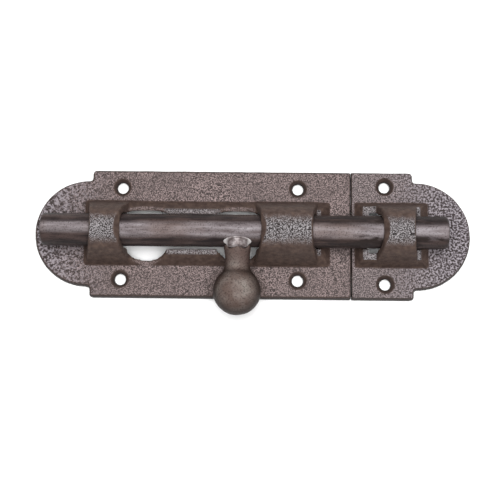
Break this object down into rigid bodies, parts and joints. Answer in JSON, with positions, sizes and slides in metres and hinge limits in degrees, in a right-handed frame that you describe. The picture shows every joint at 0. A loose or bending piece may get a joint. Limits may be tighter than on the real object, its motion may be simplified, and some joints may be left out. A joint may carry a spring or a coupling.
{
  "type": "toggle_bolt_latch",
  "caption": "Cast-iron barrel bolt: a hollow-boss main plate with bridges and notched guard ridges, a matching keeper, and a round bolt with a ball knob",
  "frame": {"origin": "On the back face of the main plate, on the centreline of the bolt, 5 mm in from the edge that meets the keeper. It is the point of the mount main_plate_back.", "axes": "+X runs along the bolt towards the keeper, the way the bolt shoots; +Y runs across the bolt in the plane of the door, and the knob points to -Y when the bolt is shot; +Z points out of the door, away from the back of the plates, with z = 0 on the back faces"},
  "size_m": [0.2159, 0.0729, 0.0273],
  "materials": {
    "plate_casting": "sand-cast iron, brown lacquer rubbed back to grey metal on the high faces",
    "bolt_steel": "worn brown-lacquered round bar",
    "knob_casting": "brown lacquer, smoother than the plates",
    "weld_metal": "bare bright weld bead"
  },
  "bodies": {
    "housing": {"main_plate": "plate_casting", "keeper": "plate_casting"},
    "bolt": {"bolt_rod": "bolt_steel"},
    "knob": {"knob": "knob_casting", "knob_weld": "weld_metal"}
  },
  "joints": [
    {"name": "bolt_slide", "type": "slide", "parent": "housing", "child": "bolt", "axis": [-1, 0, 0], "range_m": [0, 0.045]},
    {"name": "knob_turn", "type": "hinge", "parent": "bolt", "child": "knob", "pos_m": [-0.0505, 0, 0.013], "axis": [-1, 0, 0], "range_deg": [0, 162.5]}
  ],
  "couplings": [
    {"joint": "knob_turn", "follows": "bolt_slide", "rad_per_m": 63.03}
  ]
}
